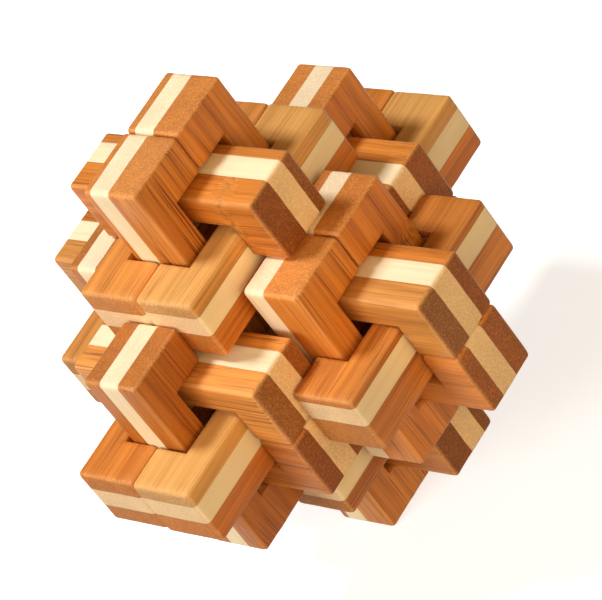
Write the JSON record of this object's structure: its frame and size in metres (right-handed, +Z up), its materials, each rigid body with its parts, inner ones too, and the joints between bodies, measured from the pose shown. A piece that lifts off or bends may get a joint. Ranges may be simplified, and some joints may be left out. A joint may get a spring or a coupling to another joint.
{
  "type": "wooden burr puzzle",
  "caption": "Interlocking burr puzzle of U-notched laminated bamboo sticks along three axes, with an upright key stick that pulls out of the top.",
  "frame": {"origin": "centre of the puzzle, where the three long pairs of sticks nest in one another's notches", "axes": "+Z up along the upright sticks, +X along the crosswise sticks to the right, +Y along the lengthwise sticks towards the back; the key leaves upwards, towards +Z"},
  "size_m": [0.09, 0.0903, 0.09],
  "materials": {
    "bamboo_caramel_laminate": "carbonised bamboo, satin, two caramel plies with a pale ply glued between them",
    "bamboo_tan_laminate": "lighter carbonised bamboo, satin, two tan plies with a pale ply glued between them"
  },
  "bodies": {
    "puzzle": {"crosswise_long_lower": "bamboo_caramel_laminate", "crosswise_long_upper": "bamboo_caramel_laminate", "crosswise_side_front_lower": "bamboo_caramel_laminate", "crosswise_side_front_upper": "bamboo_caramel_laminate", "crosswise_side_rear_lower": "bamboo_caramel_laminate", "crosswise_side_rear_upper": "bamboo_caramel_laminate", "crosswise_single_bottom": "bamboo_caramel_laminate", "crosswise_single_top": "bamboo_caramel_laminate", "lengthwise_long_left": "bamboo_caramel_laminate", "lengthwise_long_right": "bamboo_tan_laminate", "lengthwise_side_bottom_left": "bamboo_caramel_laminate", "lengthwise_side_bottom_right": "bamboo_caramel_laminate", "lengthwise_side_top_left": "bamboo_caramel_laminate", "lengthwise_side_top_right": "bamboo_tan_laminate", "lengthwise_single_left": "bamboo_caramel_laminate", "lengthwise_single_right": "bamboo_tan_laminate", "upright_long_front": "bamboo_caramel_laminate", "upright_side_left_front": "bamboo_caramel_laminate", "upright_side_left_rear": "bamboo_caramel_laminate", "upright_side_right_front": "bamboo_caramel_laminate", "upright_side_right_rear": "bamboo_caramel_laminate", "upright_single_front": "bamboo_caramel_laminate", "upright_single_rear": "bamboo_caramel_laminate"},
    "key": {"key_stick": "bamboo_caramel_laminate"}
  },
  "joints": [
    {"name": "key_slide", "type": "slide", "parent": "puzzle", "child": "key", "axis": [0, 0, 1], "range_m": [0, 0.09]}
  ]
}
